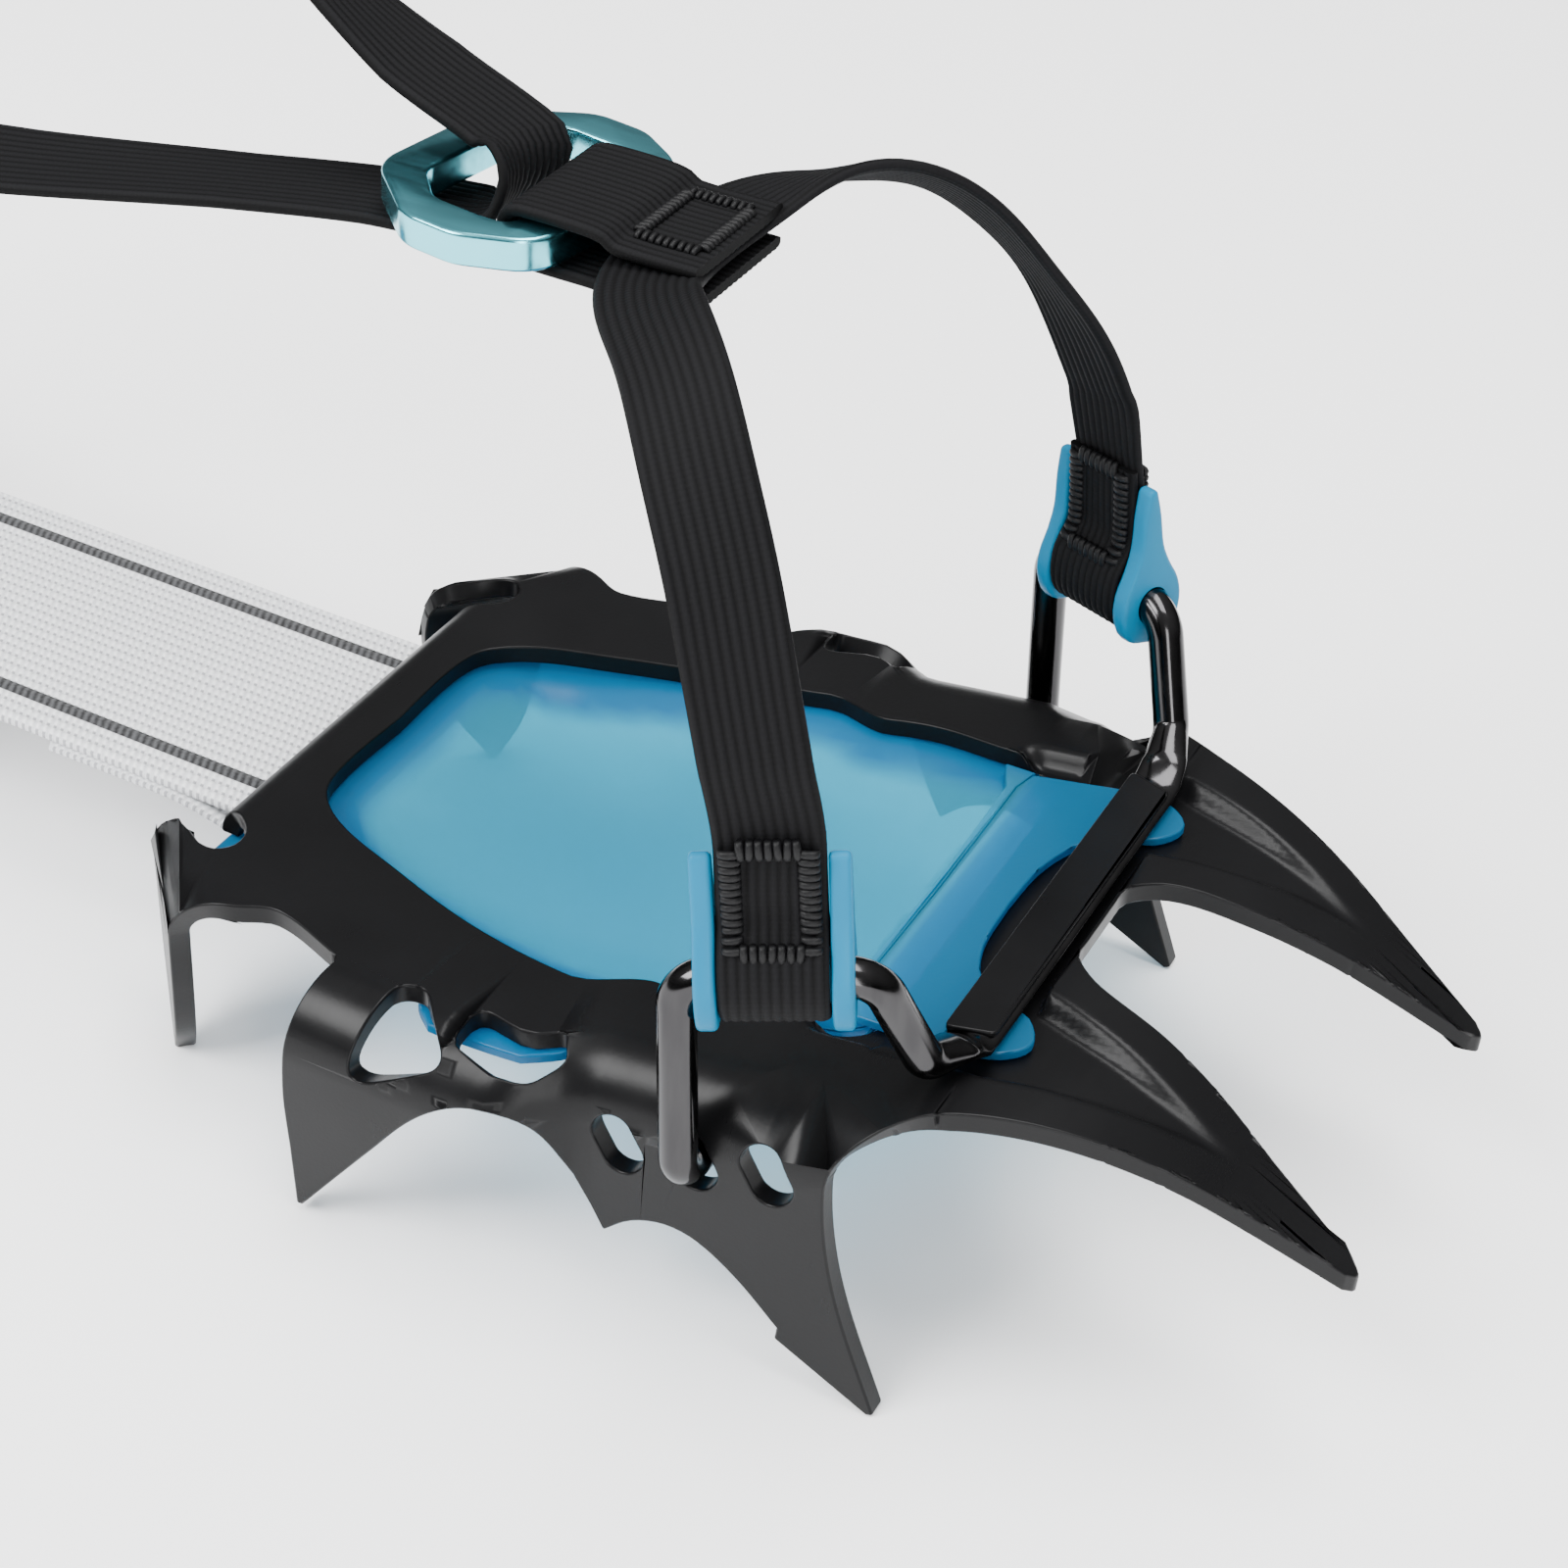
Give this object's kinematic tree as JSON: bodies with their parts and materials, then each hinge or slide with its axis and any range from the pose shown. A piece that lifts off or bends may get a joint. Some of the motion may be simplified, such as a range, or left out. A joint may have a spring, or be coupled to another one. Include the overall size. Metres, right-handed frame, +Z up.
{
  "type": "crampon",
  "caption": "Strap-on mountaineering crampon: steel front section with forward points, toe bail, webbing harness and ring, linked by a webbing strap to an adjustable heel section.",
  "frame": {"origin": "on the top face of the front plate, in the middle of its rear cross-member, where the boot sole rests", "axes": "+Y runs from the toe to the heel, +X to the right-hand side seen from behind, +Z up from the ground"},
  "size_m": [0.119, 0.3581, 0.1597],
  "materials": {
    "black_steel": "satin black coated steel",
    "dark_wire": "dark polished steel wire",
    "pin_steel": "turned steel",
    "blue_elastomer": "translucent blue elastomer",
    "cyan_polymer": "satin cyan polymer",
    "teal_anodised": "teal anodised aluminium",
    "black_webbing": "ribbed black webbing",
    "white_webbing": "white woven webbing with dark lines",
    "black_polymer": "moulded black polymer"
  },
  "bodies": {
    "front_section": {"front_plate": "black_steel", "front_antiball_plate": "blue_elastomer", "strap_anchor_bar": "pin_steel", "linking_strap": "white_webbing", "ankle_strap_near": "black_webbing", "ankle_strap_far": "black_webbing", "ankle_buckle_frame": "black_polymer", "ankle_buckle_pin": "pin_steel"},
    "toe_bail": {"toe_bail": "dark_wire", "strap_guard_near": "cyan_polymer", "strap_guard_far": "cyan_polymer", "front_strap": "black_webbing", "ring_tab": "black_webbing"},
    "strap_ring": {"strap_ring": "teal_anodised"},
    "buckle_lever": {"ankle_buckle_lever": "teal_anodised"},
    "heel_section": {"heel_plate": "black_steel", "heel_antiball_plate": "blue_elastomer", "strap_lock_frame": "teal_anodised", "strap_lock_pin": "pin_steel", "lock_rivet_near": "pin_steel", "lock_rivet_far": "pin_steel"},
    "lock_lever": {"strap_lock_lever": "black_polymer"},
    "heel_bail": {"heel_bail": "dark_wire"},
    "heel_lever": {"heel_lever": "black_polymer"}
  },
  "joints": [
    {"name": "toe_bail_pivot", "type": "hinge", "parent": "front_section", "child": "toe_bail", "pos_m": [0, -0.0791, -0.0057], "axis": [-1, 0, 0], "range_deg": [0, 45], "deforming": ["ankle_strap_near"]},
    {"name": "ring_tilt", "type": "hinge", "parent": "toe_bail", "child": "strap_ring", "pos_m": [0, -0.032, 0.0886], "axis": [0.9903, -0.1392, 0], "range_deg": [-30, 30], "deforming": ["ring_tab"]},
    {"name": "buckle_lever_hinge", "type": "hinge", "parent": "front_section", "child": "buckle_lever", "pos_m": [0.04213, 0.11551, 0.1016], "axis": [-0.0625, -0.375, -0.9249], "range_deg": [0, 80]},
    {"name": "length_slide", "type": "slide", "parent": "front_section", "child": "heel_section", "axis": [0, 1, 0], "range_m": [-0.03, 0.02], "deforming": ["ankle_strap_far"]},
    {"name": "lock_lever_hinge", "type": "hinge", "parent": "heel_section", "child": "lock_lever", "pos_m": [0, 0.102, -0.0136], "axis": [-1, 0, 0], "range_deg": [0, 75]},
    {"name": "heel_bail_pivot", "type": "hinge", "parent": "heel_section", "child": "heel_bail", "pos_m": [0, 0.158, -0.00943], "axis": [-1, 0, 0], "range_deg": [-12, 50]},
    {"name": "heel_lever_hinge", "type": "hinge", "parent": "heel_bail", "child": "heel_lever", "pos_m": [0, 0.189, 0.04], "axis": [-1, 0, 0], "range_deg": [0, 110]}
  ]
}
